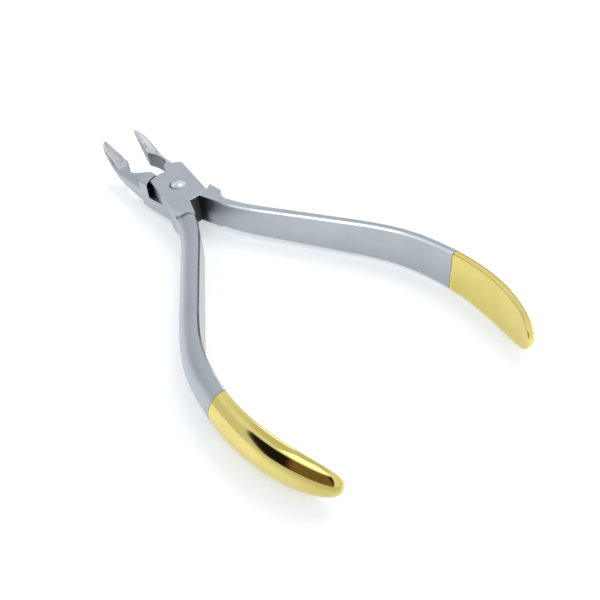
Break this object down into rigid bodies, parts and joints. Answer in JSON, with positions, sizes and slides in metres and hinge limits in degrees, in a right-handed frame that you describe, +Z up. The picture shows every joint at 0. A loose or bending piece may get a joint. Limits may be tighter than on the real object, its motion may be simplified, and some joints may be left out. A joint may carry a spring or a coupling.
{
  "type": "orthodontic pliers",
  "caption": "Hand pliers with a riveted lap joint, tapered beaks bent upwards with hard gripping pads, and long bowed handles plated gold at their ends.",
  "frame": {"origin": "on the rivet's axis, in the plane of the lower lap's flat underside", "axes": "+X along the centre line towards the beak tips, +Y towards the upper arm's handle, +Z up along the rivet"},
  "size_m": [0.1294, 0.0698, 0.0112],
  "materials": {
    "steel": "satin blasted, bright edges",
    "rivet": "polished dome",
    "carbide": "ground",
    "gold": "mirror-polished plating"
  },
  "bodies": {
    "lower": {"lower_arm": "steel", "pivot_rivet": "rivet", "lower_pad": "carbide", "lower_plating": "gold"},
    "upper": {"upper_arm": "steel", "upper_pad": "carbide", "upper_plating": "gold"}
  },
  "joints": [
    {"name": "pivot", "type": "hinge", "parent": "lower", "child": "upper", "pos_m": [0, 0, 0.004], "axis": [0, 0, -1], "range_deg": [-15.7, 14]}
  ]
}
